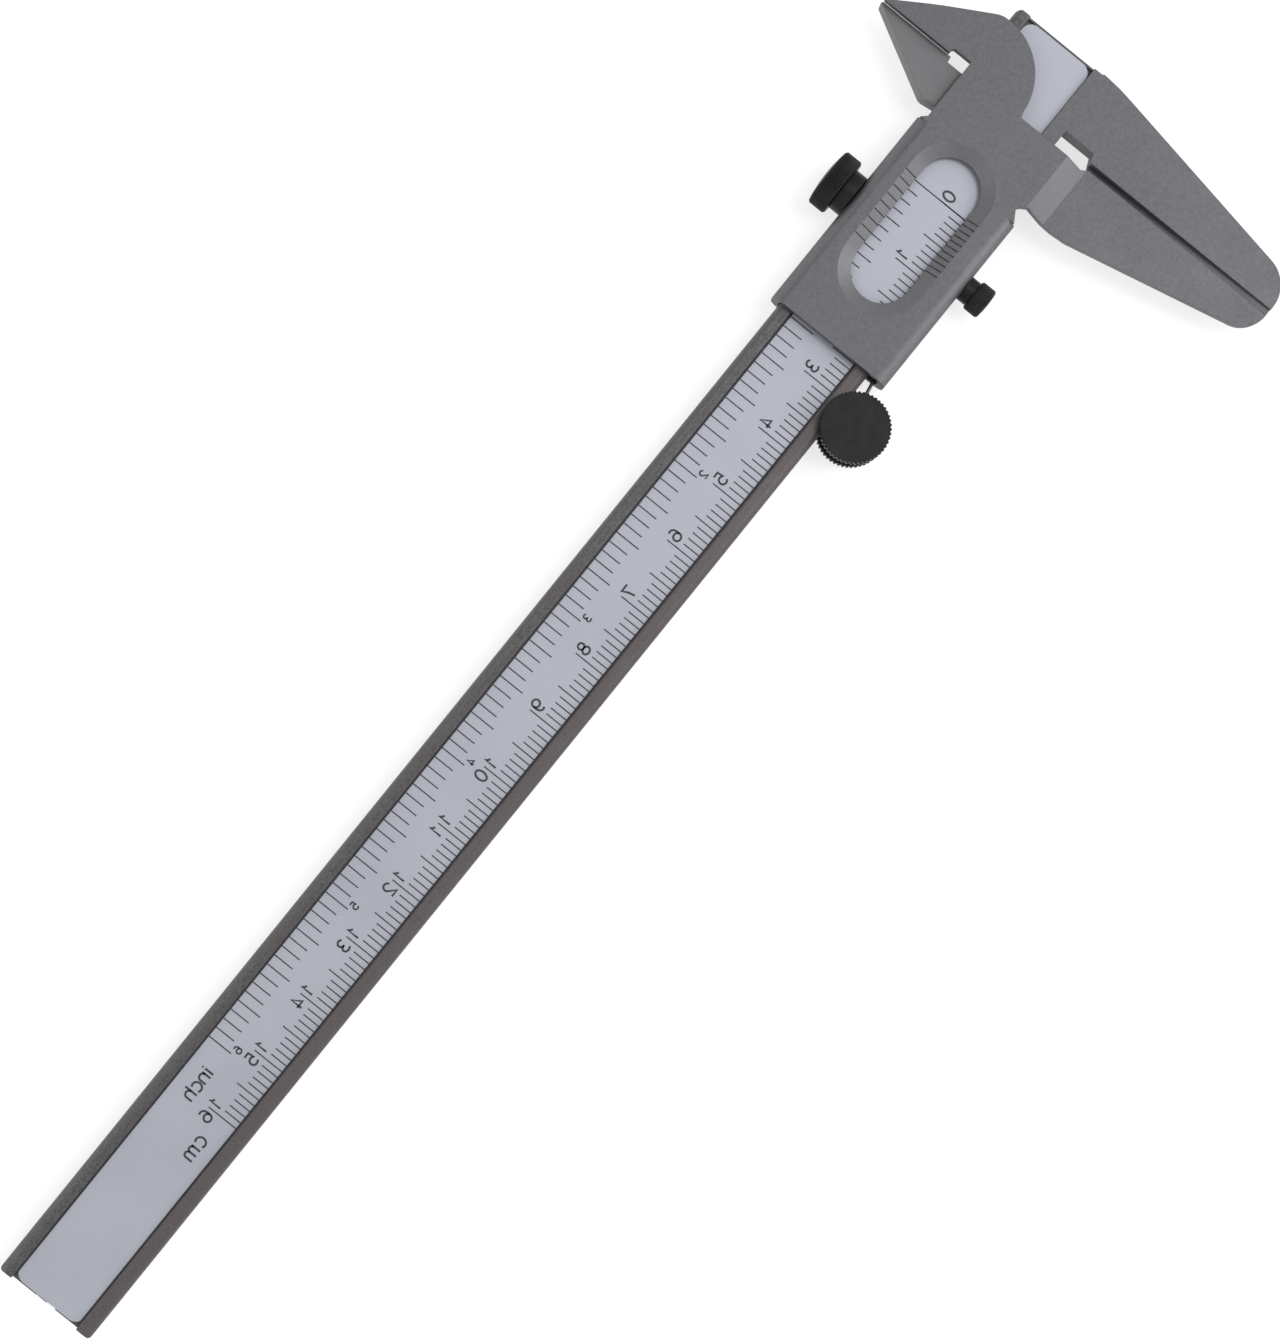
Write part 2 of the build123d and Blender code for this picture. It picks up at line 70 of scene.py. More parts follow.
beam_edge = 7.85 * mm  # half the beam's width
zero_line = -16.1 * mm  # the scale's zero, from the closed jaws
inch = 25.4 * mm
face = strip_high.z  # the scale's face
strip_foot = strip_low.y
strip_top = strip_high.y


# ---------------------------------------------------------------- pieces
def add_piece(name, points, faces, finish, body, slot, crease=35):
    """Mesh piece with points in metres, smooth but for edges sharper than crease degrees."""
    mesh = bpy.data.meshes.new(name)
    mesh.from_pydata(np.asarray(points, float).reshape(-1, 3).tolist(), [], faces)
    mesh.polygons.foreach_set("use_smooth", np.ones(len(mesh.polygons), bool))
    mesh.set_sharp_from_angle(angle=radians(crease))
    mesh.materials.append(finish)
    piece = bpy.data.objects.new(name, mesh)
    bpy.context.scene.collection.objects.link(piece)
    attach(piece, body)
    return piece


def turned(profile, teeth, depth, steps=6):
    """Turned piece with straight knurling, about its own axis w.
    Profile rows are (radius R, height h, share k). At angle t the surface is
    r = R - k depth (1 - tooth(t)), u = r cos t, v = r sin t, w = h,
    where tooth(t) goes 0, 1, 1, 0 over each of the teeth as a flattened wave.
    The two ends close in a pole on the axis."""
    columns = teeth * steps
    t = np.arange(columns) * 2 * pi / columns
    wave = 0.5 - 0.5 * np.cos(teeth * t)
    tooth = np.clip(1.5 * wave - 0.1, 0, 1)
    rows = np.array(profile, float)
    radius = rows[:, 0, None] - rows[:, 2, None] * depth * (1 - tooth)
    grid = np.stack(
        [radius * np.cos(t), radius * np.sin(t), np.repeat(rows[:, 1, None], columns, 1)], -1
    )
    poles = np.array([[0, 0, rows[0, 1]], [0, 0, rows[-1, 1]]])
    index = np.arange(len(rows) * columns).reshape(len(rows), columns)
    after = np.roll(index, -1, 1)
    sides = np.stack([index[:-1], after[:-1], after[1:], index[1:]], -1).reshape(-1, 4)
    low = len(rows) * columns
    foot = np.stack([np.full(columns, low), after[0], index[0]], -1)
    head = np.stack([np.full(columns, low + 1), index[-1], after[-1]], -1)
    points = np.vstack([grid.reshape(-1, 3), poles])
    return points, sides.tolist() + foot.tolist() + head.tolist()


def ring_turned(profile, teeth, depth, steps=6):
    """As turned, but the profile runs round and closes on itself, so the piece has a bore."""
    points, faces = turned(profile, teeth, depth, steps)
    columns, rows = teeth * steps, len(profile)
    body = [f for f in faces if len(f) == 4]
    first = np.arange(columns)
    last = first + (rows - 1) * columns
    seam = np.stack([last, np.roll(last, -1), np.roll(first, -1), first], -1)
    return points[:-2], body + seam.tolist()


def along_y(points, centre):
    """Turns a piece's axis w onto y and moves it: (u, v, w) becomes (v, w, u) + centre."""
    return points[:, [1, 2, 0]] + np.array(centre)


def along_z(points, centre):
    """Keeps a piece's axis w on z and moves it to the centre."""
    return points + np.array(centre)


def bars(x, start, end, width, lift):
    """Straight graduation lines as thin bars, all at once. Line i runs from (x_i, start_i) to
    (x_i, end_i), where start and end hold (y, z); corners are x_i +- width/2 and z +- lift."""
    x = np.asarray(x, float)
    ends = np.stack([np.broadcast_to(start, (len(x), 2)), np.broadcast_to(end, (len(x), 2))], 1)
    side = np.array([-0.5, 0.5]) * width
    level = np.array([-1.0, 1.0]) * lift
    corner = np.zeros((len(x), 2, 2, 2, 3))
    corner[..., 0] = x[:, None, None, None] + side[None, None, :, None]
    corner[..., 1] = ends[:, :, None, None, 0]
    corner[..., 2] = ends[:, :, None, None, 1] + level[None, None, None, :]
    # corner numbers: 4 end + 2 side + level; end 0 is the one with the lower y
    box = np.array(
        [[1, 3, 7, 5], [0, 4, 6, 2], [0, 2, 3, 1], [4, 5, 7, 6], [0, 1, 5, 4], [2, 6, 7, 3]]
    )
    return corner.reshape(-1, 3), (np.arange(len(x))[:, None, None] * 8 + box).reshape(-1, 4)


def pen_line(path, width, low, high, closed):
    """One pen stroke: a rectangle, width by (low to high), carried along a plane path. At each
    point the side step is (n1 + n2) / |n1 + n2| * width/2 / cos(half the bend)."""
    path = np.asarray(path, float)
    step = np.diff(np.vstack([path, path[:1]]) if closed else path, axis=0)
    step = step / np.linalg.norm(step, axis=1, keepdims=True)
    side = np.stack([-step[:, 1], step[:, 0]], 1)
    if closed:
        before, after = np.roll(side, 1, 0), side
    else:
        before, after = np.vstack([side[:1], side]), np.vstack([side, side[-1:]])
    mitre = before + after
    mitre = mitre / np.linalg.norm(mitre, axis=1, keepdims=True)
    reach = width / 2 / np.maximum((mitre * before).sum(1, keepdims=True), 0.6)
    left, right = path + mitre * reach, path - mitre * reach
    flat = np.stack([right, left, left, right], 1)
    height = np.broadcast_to(np.array([low, low, high, high])[None, :, None], (len(path), 4, 1))
    points = np.concatenate([flat, height], 2)
    index = np.arange(len(path) * 4).reshape(-1, 4)
    following = np.roll(index, -1, 0)
    here, there = (index, following) if closed else (index[:-1], following[:-1])
    faces = np.stack([here, np.roll(here, -1, 1), np.roll(there, -1, 1), there], -1).reshape(-1, 4)
    if not closed:
        faces = np.vstack([faces, index[0][::-1], index[-1]])
    return points.reshape(-1, 3), faces


def bow(cx, cy, rx, ry, start, end, steps=14):
    """Part of an oval: (cx + rx cos a, cy + ry sin a), a from start to end degrees."""
    a = np.radians(np.linspace(start, end, steps))
    return np.stack([cx + rx * np.cos(a), cy + ry * np.sin(a)], 1).tolist()


def oval(cx, cy, rx, ry, steps=24):
    """Whole oval as a closed path."""
    return bow(cx, cy, rx, ry, 0, 360 - 360 / steps, steps)


# Pen strokes of the characters in a cell 1 high, read the usual way round: (path, closed).
characters = {
    "0": [(oval(0.32, 0.5, 0.32, 0.5), True)],
    "1": [([(0.02, 0.72), (0.2, 0.84), (0.3, 1.0), (0.3, 0.0)], False)],
    "2": [(bow(0.32, 0.7, 0.3, 0.3, 170, -35) + [(0.02, 0.0), (0.64, 0.0)], False)],
    "3": [
        (bow(0.31, 0.745, 0.27, 0.255, 150, -90, 12) + [(0.22, 0.49)], False),
        (bow(0.31, 0.245, 0.31, 0.245, 90, -150, 14), False),
    ],
    "4": [([(0.66, 0.27), (0.0, 0.27), (0.46, 1.0), (0.46, 0.0)], False)],
    "5": [
        (
            [(0.58, 1.0), (0.12, 1.0), (0.06, 0.52)]
            + bow(0.31, 0.31, 0.32, 0.31, 130, -145, 16),
            False,
        )
    ],
    "6": [
        (bow(0.36, 0.62, 0.34, 0.38, 60, 180, 8) + [(0.01, 0.34)], False),
        (oval(0.33, 0.3, 0.32, 0.3), True),
    ],
    "7": [([(0.0, 1.0), (0.64, 1.0), (0.42, 0.55), (0.28, 0.0)], False)],
    "8": [(oval(0.32, 0.755, 0.26, 0.245), True), (oval(0.32, 0.26, 0.32, 0.26), True)],
    "9": [
        (oval(0.31, 0.7, 0.31, 0.3), True),
        ([(0.63, 0.66)] + bow(0.28, 0.38, 0.34, 0.38, 0, -120, 8), False),
    ],
    "c": [(bow(0.34, 0.36, 0.33, 0.36, 50, 310, 16), False)],
    "h": [
        ([(0.03, 1.0), (0.03, 0.0)], False),
        ([(0.03, 0.46)] + bow(0.3, 0.46, 0.26, 0.26, 150, 0, 9) + [(0.56, 0.0)], False),
    ],
    "i": [([(0.0, 0.72), (0.0, 0.0)], False), ([(0.0, 0.97), (0.0, 0.87)], False)],
    "m": [
        ([(0.03, 0.72), (0.03, 0.0)], False),
        ([(0.03, 0.5)] + bow(0.25, 0.5, 0.21, 0.22, 150, 0, 8) + [(0.46, 0.0)], False),
        ([(0.46, 0.5)] + bow(0.68, 0.5, 0.21, 0.22, 150, 0, 8) + [(0.89, 0.0)], False),
    ],
    "n": [
        ([(0.03, 0.72), (0.03, 0.0)], False),
        ([(0.03, 0.46)] + bow(0.3, 0.46, 0.26, 0.26, 150, 0, 9) + [(0.56, 0.0)], False),
    ],
}


def written(character, right, foot, height, pen):
    """Strokes of one character, laid the left-handed way round on the scale's face:
    x = right - height * cell x, y = foot + height * cell y."""
    strokes = []
    for path, closed in characters[character]:
        cell = np.array(path)
        cell = np.stack([right - height * cell[:, 0], foot + height * cell[:, 1]], 1)
        strokes.append(pen_line(cell[::-1], pen, face - lettering, face + lettering, closed))
    return strokes


def joined(parts):
    """Several (points, faces) as one."""
    counts = np.cumsum([0] + [len(p) for p, _ in parts[:-1]])
    faces = [np.asarray(f) + n for (_, f), n in zip(parts, counts)]
    return np.vstack([p for p, _ in parts]), [row for f in faces for row in f.tolist()]


# ---------------------------------------------------------------- finishes
class Finish:
    """A node material with a grainy metal or paint surface, on Object coordinates in metres."""

    def __init__(self, name, colour, metallic, roughness):
        self.material = bpy.data.materials.new(name)
        self.material.use_nodes = True
        self.tree = self.material.node_tree
        self.shader = self.tree.nodes["Principled BSDF"]
        self.shader.inputs["Base Color"].default_value = (*colour, 1)
        self.shader.inputs["Metallic"].default_value = metallic
        self.shader.inputs["Roughness"].default_value = roughness
        self.place = self.node("ShaderNodeTexCoord").outputs["Object"]

    def node(self, kind, **settings):
        made = self.tree.nodes.new(kind)
        for key, value in settings.items():
            setattr(made, key, value)
        return made

    def link(self, source, target):
        self.tree.links.new(source, target)

    def noise(self, scale, detail=2.0, stretch=(1, 1, 1)):
        """Noise with scale lumps to the metre, drawn out by stretch."""
        mapping = self.node("ShaderNodeMapping")
        mapping.inputs["Scale"].default_value = stretch
        self.link(self.place, mapping.inputs["Vector"])
        made = self.node("ShaderNodeTexNoise")
        made.inputs["Scale"].default_value = scale
        made.inputs["Detail"].default_value = detail
        self.link(mapping.outputs["Vector"], made.inputs["Vector"])
        return made.outputs["Fac"]

    def ranged(self, value, low, high, to_low, to_high):
        """Value mapped from low-high onto to_low-to_high."""
        made = self.node("ShaderNodeMapRange")
        for key, number in zip(
            ("From Min", "From Max", "To Min", "To Max"), (low, high, to_low, to_high)
        ):
            made.inputs[key].default_value = number
        self.link(value, made.inputs["Value"])
        return made.outputs["Result"]

    def blend(self, factor, first, second, mode="MIX"):
        """Two colours, or sockets, mixed by a factor."""
        made = self.node("ShaderNodeMix", data_type="RGBA", blend_type=mode)
        if isinstance(factor, (int, float)):
            made.inputs[0].default_value = factor
        else:
            self.link(factor, made.inputs[0])
        for socket, value in ((made.inputs[6], first), (made.inputs[7], second)):
            if isinstance(value, tuple):
                socket.default_value = (*value, 1)
            else:
                self.link(value, socket)
        return made.outputs[2]

    def edge(self, radius):
        """0 on flat faces, rising to 1 on edges and corners within radius."""
        rounded = self.node("ShaderNodeBevel", samples=4)
        rounded.inputs["Radius"].default_value = radius
        geometry = self.node("ShaderNodeNewGeometry")
        dot = self.node("ShaderNodeVectorMath", operation="DOT_PRODUCT")
        self.link(rounded.outputs["Normal"], dot.inputs[0])
        self.link(geometry.outputs["Normal"], dot.inputs[1])
        return rounded.outputs["Normal"], self.ranged(dot.outputs["Value"], 0.98, 0.75, 0, 1)

    def lean(self):
        """0 on level faces and walls, up to 0.27 on slopes about 25 degrees off level: a painted
        sheen, the slopes made paler as if they caught the light."""
        geometry = self.node("ShaderNodeNewGeometry")
        split = self.node("ShaderNodeSeparateXYZ")
        self.link(geometry.outputs["True Normal"], split.inputs[0])
        rising = self.ranged(split.outputs["Z"], 0.992, 0.93, 0, 0.27)
        walls = self.ranged(split.outputs["Z"], 0.45, 0.75, 0, 1)
        both = self.node("ShaderNodeMath", operation="MULTIPLY")
        self.link(rising, both.inputs[0])
        self.link(walls, both.inputs[1])
        return both.outputs[0]

    def relief(self, height, distance, strength=1.0, normal=None):
        """Bump of the given depth in metres, over a normal when one is given."""
        bump = self.node("ShaderNodeBump")
        bump.inputs["Distance"].default_value = distance
        bump.inputs["Strength"].default_value = strength
        self.link(height, bump.inputs["Height"])
        if normal is not None:
            self.link(normal, bump.inputs["Normal"])
        self.link(bump.outputs["Normal"], self.shader.inputs["Normal"])

    def paint(self, socket, value):
        """Leads a value into one of the shader's sockets."""
        self.link(value, self.shader.inputs[socket])


def satin_steel():
    """Grey satin plated sheet: fine pitted grain, cloudy tone, edges worn brighter, painted sheen
    on slopes.
    """
    f = Finish("satin_steel", (0.12, 0.118, 0.13), 0.6, 0.5)
    grain = f.noise(5200, 3)
    cloud = f.noise(160, 3)
    fine = f.noise(1500, 2)
    tone = f.blend(f.ranged(cloud, 0.35, 0.65, 0, 1), (0.118, 0.116, 0.129), (0.134, 0.132, 0.142))
    tone = f.blend(f.ranged(fine, 0.35, 0.65, 0, 0.5), tone, (0.092, 0.09, 0.101))
    tone = f.blend(f.ranged(grain, 0.4, 0.65, 0, 0.4), tone, (0.165, 0.163, 0.172))
    # painted sheen: every slope is blended paler, as if catching the light
    tone = f.blend(f.lean(), tone, (0.3, 0.298, 0.31))
    normal, worn = f.edge(0.12 * mm)
    f.paint("Base Color", f.blend(f.ranged(worn, 0, 1, 0, 0.4), tone, (0.24, 0.24, 0.25)))
    f.paint("Roughness", f.ranged(cloud, 0.3, 0.7, 0.46, 0.56))
    f.relief(grain, 0.012 * mm, 0.5, normal)
    return f.material


def beam_steel():
    """The beam's plated steel: a coarser, browner grain than the sheet's."""
    f = Finish("beam_steel", (0.1, 0.097, 0.098), 0.6, 0.5)
    grain = f.noise(3600, 4)
    cloud = f.noise(120, 3)
    tone = f.blend(f.ranged(grain, 0.35, 0.65, 0, 1), (0.07, 0.068, 0.07), (0.13, 0.128, 0.13))
    tone = f.blend(f.ranged(cloud, 0.4, 0.7, 0, 0.6), tone, (0.105, 0.088, 0.086))
    split = f.node("ShaderNodeSeparateXYZ")
    f.link(f.place, split.inputs[0])
    jaw = f.ranged(split.outputs["Y"], beam_edge, beam_edge + 1.5 * mm, 0, 1)
    tone = f.blend(jaw, tone, (0.132, 0.13, 0.142))
    # the lips: a painted highlight, paler toward the upper lip's outer edge and on past it, where
    # the rounded lip catches the light; the lower lip browner
    outer_lip_highlight = f.ranged(split.outputs["Y"], 6.6 * mm, beam_edge, 0, 0.55)
    tone = f.blend(outer_lip_highlight, tone, (0.19, 0.188, 0.19))
    lower_lip = f.ranged(split.outputs["Y"], -5.4 * mm, -5.8 * mm, 0, 0.6)
    tone = f.blend(lower_lip, tone, (0.125, 0.106, 0.108))
    normal, worn = f.edge(0.12 * mm)
    f.paint("Base Color", f.blend(f.ranged(worn, 0, 1, 0, 0.35), tone, (0.2, 0.2, 0.2)))
    f.paint("Roughness", f.ranged(cloud, 0.3, 0.7, 0.46, 0.58))
    f.relief(grain, 0.02 * mm, 0.6, normal)
    return f.material


def scale_face():
    """Pale bluish matt chrome of the scale: very fine grain, faint clouds."""
    f = Finish("scale_face", (0.46, 0.475, 0.52), 0.35, 0.55)
    grain = f.noise(7000, 2)
    cloud = f.noise(90, 3)
    tone = f.blend(f.ranged(cloud, 0.35, 0.65, 0, 1), (0.405, 0.417, 0.48), (0.435, 0.448, 0.51))
    f.paint("Base Color", f.blend(f.ranged(grain, 0.3, 0.7, 0, 0.3), tone, (0.375, 0.385, 0.42)))
    f.paint("Roughness", f.ranged(cloud, 0.3, 0.7, 0.5, 0.6))
    f.relief(grain, 0.008 * mm, 0.4)
    return f.material


def black_steel():
    """Blackened steel: almost black, a soft sheen, rubbed grey on the crests and edges."""
    f = Finish("black_steel", (0.012, 0.012, 0.013), 0.0, 0.45)
    f.shader.inputs["Specular IOR Level"].default_value = 0.2
    grain = f.noise(3000, 3)
    cloud = f.noise(400, 2)
    normal, worn = f.edge(0.1 * mm)
    tone = f.blend(f.ranged(cloud, 0.35, 0.65, 0, 1), (0.007, 0.007, 0.008), (0.013, 0.013, 0.014))
    f.paint("Base Color", f.blend(f.ranged(worn, 0, 1, 0, 0.4), tone, (0.06, 0.06, 0.063)))
    f.paint("Roughness", f.ranged(grain, 0.3, 0.7, 0.36, 0.5))
    f.relief(grain, 0.01 * mm, 0.5, normal)
    return f.material


def drawn_wire():
    """Drawn spring wire: dark steel with lengthways drawing marks."""
    f = Finish("drawn_wire", (0.2, 0.2, 0.2), 0.9, 0.35)
    marks = f.noise(9000, 2, (0.08, 1, 1))
    f.paint("Base Color", f.blend(marks, (0.05, 0.05, 0.053), (0.11, 0.11, 0.112)))
    f.paint("Roughness", f.ranged(marks, 0.3, 0.7, 0.3, 0.42))
    f.relief(marks, 0.006 * mm, 0.5)
    return f.material


def dark_filling():
    """Dark filling of the graduation lines and numerals, a little uneven; also the painted shade
    in the strip's gaps.
    """
    f = Finish("dark_filling", (0.045, 0.045, 0.05), 0.0, 0.6)
    patch = f.noise(2500, 3)
    f.paint("Base Color", f.blend(patch, (0.018, 0.018, 0.021), (0.05, 0.05, 0.056)))
    f.paint("Roughness", f.ranged(patch, 0.3, 0.7, 0.5, 0.7))
    f.relief(patch, 0.004 * mm, 0.3)
    return f.material


def faint_filling():
    """Filling of the vernier's lines, half rubbed away."""
    f = Finish("faint_filling", (0.12, 0.12, 0.125), 0.3, 0.5)
    patch = f.noise(1800, 3)
    rubbed = f.ranged(patch, 0.4, 0.6, 0, 1)
    f.paint("Base Color", f.blend(rubbed, (0.014, 0.014, 0.016), (0.05, 0.05, 0.054)))
    f.paint("Roughness", f.ranged(patch, 0.3, 0.7, 0.42, 0.6))
    f.relief(patch, 0.004 * mm, 0.3)
    return f.material


sheet, beam, scale, black = satin_steel(), beam_steel(), scale_face(), black_steel()
wire, dark, faint = drawn_wire(), dark_filling(), faint_filling()

finishes = {
    "beam_frame": beam,
    "fixed_jaw_facing": sheet,
    "scale_bed": beam,
    "scale_strip": scale,
    "slider_frame": sheet,
    "clamp_bush": black,
    "tension_bush": black,
    "spring_wire": wire,
    "depth_rod": sheet,
    "depth_rod_spacer": sheet,
    "depth_rod_rivet": sheet,
    "roller_pin": black,
}
for name, finish in finishes.items():
    nodes[name].data.materials.clear()
    nodes[name].data.materials.append(finish)

# ---------------------------------------------------------------- knurled screws and roller
bevel = 0.25 * mm
pole = 0.01 * mm  # radius of the last ring before a pole


def head_rows(low, high, radius, dome, outward):
    """Profile rows of a knurled head between two heights; the domed end is high when outward
    is 1 and low when it is -1. The dome is h = end + dome (1 - (R / face)^2)."""
    face_radius = radius - bevel
    ring = np.array([0.25, 0.5, 0.75]) * face_radius
    rise = dome * (1 - (ring / face_radius) ** 2)
    if outward > 0:
        rows = [(face_radius, low, 0), (radius, low + bevel, 1), (radius, high - bevel, 1)]
        rows += [(face_radius, high, 0.3)]
        return rows + [(r, high + h, 0) for r, h in zip(ring[::-1], rise[::-1])]
    rows = [(r, low - h, 0) for r, h in zip(ring, rise)]
    rows += [(face_radius, low, 0.3), (radius, low + bevel, 1), (radius, high - bevel, 1)]
    return rows + [(face_radius, high, 0)]


def clamp_profile():
    """Clamp screw from its tip to its domed, knurled head."""
    tip, top = clamp_low.y, clamp_high.y
    radius = (clamp_high.x - clamp_low.x) / 2
    shank, dome, head = 1.45 * mm, 0.4 * mm, 2.7 * mm
    under = top - dome - head
    rows = [(shank - bevel, tip, 0), (shank, tip + bevel, 0), (shank, under, 0)]
    rows += head_rows(under, top - dome, radius, dome, 1)
    return rows + [(pole, top, 0)]


def tension_profile():
    """Tension screw from its knurled head, at the low end, to its tip."""
    low, tip = tension_low.y, tension_high.y
    radius = (tension_high.x - tension_low.x) / 2
    shank, dome, head = 0.9 * mm, 0.15 * mm, 2.4 * mm
    rows = [(pole, low, 0)] + head_rows(low + dome, low + dome + head, radius, dome, -1)
    return rows + [(shank, low + dome + head, 0), (shank, tip - bevel, 0), (shank - bevel, tip, 0)]


def screw_centre(low, high):
    """Centre of a screw that lies along y."""
    return ((low.x + high.x) / 2, 0, (low.z + high.z) / 2)


points, faces = turned(clamp_profile(), 64, 0.16 * mm)
piece = add_piece(
    "clamp_screw_knurled",
    along_y(points, screw_centre(clamp_low, clamp_high)),
    faces,
    black,
    "clamp",
    "blackened_steel",
)
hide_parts("clamp_screw")

points, faces = turned(tension_profile(), 36, 0.13 * mm)
piece = add_piece(
    "tension_screw_knurled",
    along_y(points, screw_centre(tension_low, tension_high)),
    faces,
    black,
    "tension",
    "blackened_steel",
)
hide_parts("tension_screw")

# roller: flange, hub and neck in front; flange and hub behind, on one pin
roller_centre = ((roller_low.x + roller_high.x) / 2, (roller_low.y + roller_high.y) / 2, 0)
flange = (roller_high.x - roller_low.x) / 2
hub, neck, bore, rim = 3.0 * mm, 1.6 * mm, 0.82 * mm, 0.2 * mm
front_thick, rear_thick, groove = 1.6 * mm, 1.5 * mm, 0.8 * mm
face_ring = flange * 0.6  # a ring on each face, so its triangles stay short
roller_teeth, roller_tooth = 50, 0.2 * mm

front_face = roller_high.z
pin_top = front_face - front_thick / 2
front_rows = [
    (pole, pin_top, 0),
    (bore, pin_top, 0),
    (bore, roller_low.z, 0),
    (neck, roller_low.z, 0),
    (neck, roller_low.z + groove, 0),
    (hub, roller_low.z + groove, 0),
    (hub, front_face - front_thick, 0),
    (flange - rim, front_face - front_thick, 0),
    (flange, front_face - front_thick + rim, 1),
    (flange, front_face - rim, 1),
    (flange - rim, front_face, 0),
    (face_ring, front_face, 0),
    (pole, front_face, 0),
]
points, faces = turned(front_rows, roller_teeth, roller_tooth)
piece = add_piece(
    "roller_front_knurled",
    along_z(points, roller_centre),
    faces,
    black,
    "roller",
    "blackened_steel",
)
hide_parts("roller_front")

rear_face = rear_low.z
rear_rows = [
    (bore, rear_face, 0),
    (face_ring, rear_face, 0),
    (flange - rim, rear_face, 0),
    (flange, rear_face + rim, 1),
    (flange, rear_face + rear_thick - rim, 1),
    (flange - rim, rear_face + rear_thick, 0),
    (hub, rear_face + rear_thick, 0),
    (hub, rear_high.z, 0),
    (bore, rear_high.z, 0),
]
points, faces = ring_turned(rear_rows, roller_teeth, roller_tooth)
piece = add_piece(
    "roller_rear_knurled",
    along_z(points, roller_centre),
    faces,
    black,
    "roller",
    "blackened_steel",
)
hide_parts("roller_rear")

# ---------------------------------------------------------------- graduations and numerals
lettering = 0.012 * mm  # how far lines and numerals stand off the face, and reach into it
line = 0.18 * mm
pen = 0.3 * mm
edge_gap = 0.03 * mm

millimetres = np.arange(161)
tops = np.where(millimetres % 10 == 0, -0.55, np.where(millimetres % 5 == 0, -1.5, -2.65)) * mm
foot = strip_foot + edge_gap
metric = bars(
    zero_line - millimetres * mm,
    (foot, face),
    np.stack([tops, np.full(161, face)], 1),
    line,
    lettering,
)
sixteenths = np.arange(1, 97)
ends = np.where(sixteenths % 4 == 0, 1.65, 2.4) * mm
imperial = bars(
    zero_line - sixteenths * inch / 16,
    np.stack([ends, np.full(96, face)], 1),
    (strip_top - edge_gap, face),
    line,
    lettering,
)
zero = bars([zero_line], (foot, face), (strip_top - edge_gap, face), line, lettering)
add_piece("scale_lines", *joined([metric, imperial, zero]), dark, "beam", "scale_face")

# painted shade: narrow dark bands on the strip's face where it lies against the beam's two lips,
# standing in for the shadow in the gaps between them
seam, gap_shade_lift = 0.2 * mm, lettering * 0.6
gap_shade_start, gap_shade_end = strip_low.x + 0.3 * mm, zero_line + 3 * mm
gap_shade_middle, gap_shade_length = (gap_shade_start + gap_shade_end) / 2, gap_shade_end - gap_shade_start
gap_shades = [
    bars([gap_shade_middle], (side, face), (side + seam, face), gap_shade_length, gap_shade_lift)
    for side in (strip_foot, strip_top - seam)
]
add_piece("strip_gap_shade", *joined(gap_shades), dark, "beam", "scale_face")

# numerals and words: heights, feet and pens, then the place right of each one's own line
metric_height, metric_foot = 1.8 * mm, -1.93 * mm
inch_height, inch_foot, inch_pen, inch_right = 1.15 * mm, 0.66 * mm, 0.24 * mm, 1.32 * mm
digit_right, one_right, second_right = 1.75 * mm, 1.35 * mm, -0.68 * mm
numerals = []
for number in range(17):
    tick = zero_line - number * 10 * mm
    digits = str(number)
    if number >= 10:
        places = [("1", one_right), (digits[1], second_right)]
    else:
        places = [(digits, one_right if number == 1 else digit_right)]
    for digit, right in places:
        numerals += written(digit, tick + right, metric_foot, metric_height, pen)
for number in range(1, 7):
    tick = zero_line - number * inch
    numerals += written(str(number), tick + inch_right, inch_foot, inch_height, inch_pen)

# each word's foot and height in millimetres, and its letters' places along the scale
words = [
    (1.7, 2.0, (("i", -156.2), ("n", -156.75), ("c", -158.2), ("h", -159.75))),
    (-3.5, 2.1, (("c", -163.75), ("m", -165.45))),
]
for word_foot, height, letters in words:
    for letter, right in letters:
        numerals += written(letter, zero_line + right * mm, word_foot * mm, height * mm, pen)
add_piece("scale_numerals", *joined(numerals), dark, "beam", "scale_face")

# vernier lines on the window's slopes
window_y, half_window, slope = -0.4 * mm, 4.45 * mm, 1.9 * mm
sheet_front = 4.55 * mm
slope_foot = 3.6 * mm
vernier_line = 0.2 * mm
low_rim, high_rim = window_y - half_window, window_y + half_window
tenths = zero_line - np.arange(11) * 0.9 * mm
low_start, low_end = (low_rim - slope, sheet_front), (low_rim, slope_foot)
lower = bars(tenths, low_start, low_end, vernier_line, lettering)
eighths = zero_line - np.arange(9) * 7 / 16 / 8 * inch
high_start, high_end = (high_rim, slope_foot), (high_rim + slope, sheet_front)
upper = bars(eighths, high_start, high_end, vernier_line, lettering)
add_piece("vernier_lines", *joined([lower, upper]), faint, "slider", "sheet_steel")

# ---------------------------------------------------------------- floor, light and camera
floor_finish = Finish("floor", (0.8, 0.8, 0.8), 0.0, 0.8)
tree = floor_finish.tree
# white where it is looked at, straight or in a reflection; plain pale floor for all other light
rays = floor_finish.node("ShaderNodeLightPath")
seen = rays.outputs["Is Camera Ray"]
for kind in ("Is Glossy Ray", "Is Transmission Ray"):
    either = floor_finish.node("ShaderNodeMath", operation="MAXIMUM")
    floor_finish.link(seen, either.inputs[0])
    floor_finish.link(rays.outputs[kind], either.inputs[1])
    seen = either.outputs[0]
glow = floor_finish.node("ShaderNodeEmission")
glow.inputs["Strength"].default_value = 0.72
bare = floor_finish.node("ShaderNodeBsdfDiffuse")
bare.inputs["Color"].default_value = (0.8, 0.8, 0.8, 1)
shown = floor_finish.node("ShaderNodeBsdfDiffuse")
shown.inputs["Color"].default_value = (0.38, 0.38, 0.38, 1)
lit = floor_finish.node("ShaderNodeAddShader")
floor_finish.link(glow.outputs[0], lit.inputs[0])
floor_finish.link(shown.outputs[0], lit.inputs[1])
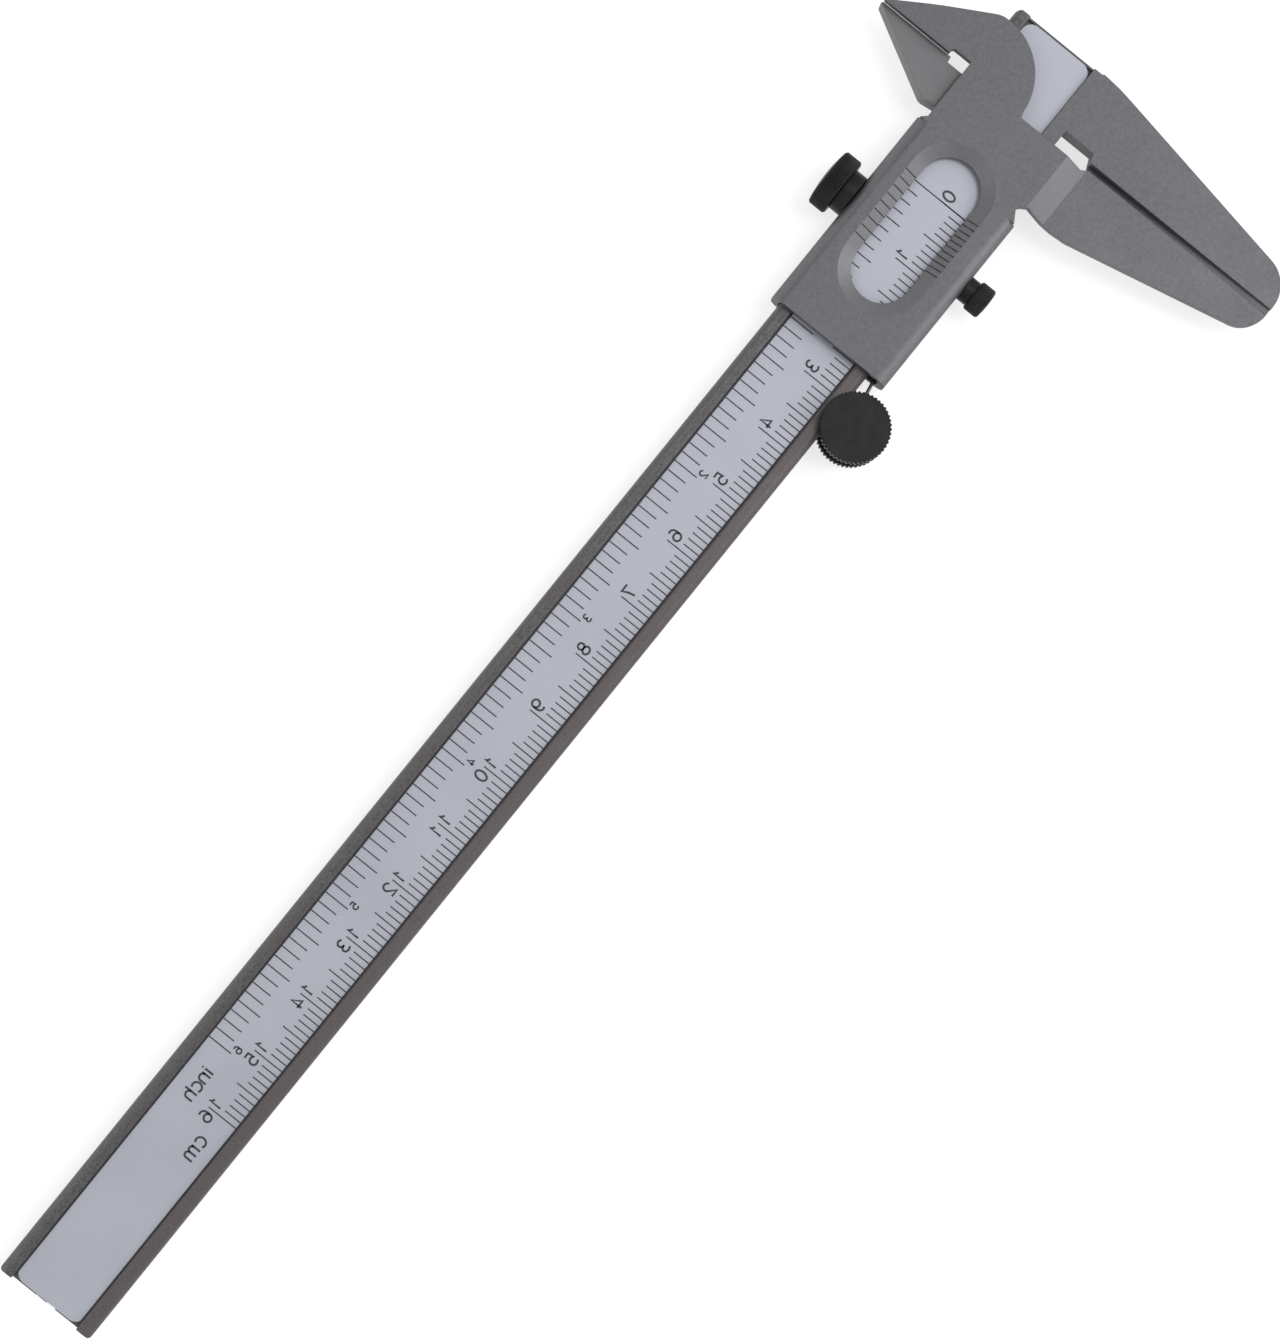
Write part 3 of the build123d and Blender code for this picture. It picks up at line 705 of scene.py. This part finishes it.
choice = floor_finish.node("ShaderNodeMixShader")
floor_finish.link(seen, choice.inputs[0])
floor_finish.link(bare.outputs[0], choice.inputs[1])
floor_finish.link(lit.outputs[0], choice.inputs[2])
floor_finish.link(choice.outputs[0], tree.nodes["Material Output"].inputs["Surface"])

reach = 30.0  # the floor's half width, in metres
floor_level = cad_low.z - 0.05 * mm
floor_mesh = bpy.data.meshes.new("floor")
corners = [(-reach, -reach), (reach, -reach), (reach, reach), (-reach, reach)]
floor_mesh.from_pydata([(x, y, floor_level) for x, y in corners], [], [(0, 1, 2, 3)])
floor_mesh.materials.append(floor_finish.material)
floor = bpy.data.objects.new("floor", floor_mesh)
bpy.context.scene.collection.objects.link(floor)

world = bpy.data.worlds.new("studio")
bpy.context.scene.world = world
world.use_nodes = True
sky = world.node_tree
direction = sky.nodes.new("ShaderNodeTexCoord")
split = sky.nodes.new("ShaderNodeSeparateXYZ")
sky.links.new(direction.outputs["Generated"], split.inputs[0])
fade = sky.nodes.new("ShaderNodeMapRange")
# brighter at the horizon (1.0) than overhead (0.42)
for key, number in zip(("From Min", "From Max", "To Min", "To Max"), (0, 1, 1.0, 0.42)):
    fade.inputs[key].default_value = number
sky.links.new(split.outputs["Z"], fade.inputs["Value"])
sky.links.new(fade.outputs["Result"], sky.nodes["Background"].inputs["Strength"])
sky.nodes["Background"].inputs["Color"].default_value = (1, 1, 1, 1)


def lamp(name, place, aim, size, power):
    """Square soft lamp at place, turned to aim."""
    data = bpy.data.lights.new(name, "AREA")
    data.size = size
    data.energy = power
    made = bpy.data.objects.new(name, data)
    made.location = place
    toward = aim - made.location
    made.rotation_euler = toward.to_track_quat("-Z", "Y").to_euler()
    bpy.context.scene.collection.objects.link(made)


middle = (cad_low + cad_high) / 2
lamp("key_lamp", (0.4, -0.4, 1.5), middle, 0.6, 7.6)
lamp("side_lamp", (0.75, -1.0, 0.85), middle, 0.8, 7.0)
lamp("fill_lamp", (-0.9, 0.7, 1.3), middle, 0.8, 2.5)

camera_data = bpy.data.cameras.new("camera")
camera_data.sensor_width = 36.0
camera_data.lens = 59.87
camera_data.clip_start = 0.01
camera = bpy.data.objects.new("camera", camera_data)
bpy.context.scene.collection.objects.link(camera)
camera.location = (-0.095, -0.0048, 0.30905)
camera.rotation_euler = (radians(-0.11), radians(-0.905), radians(-51.053))
bpy.context.scene.camera = camera

bpy.context.scene.view_settings.view_transform = "Standard"
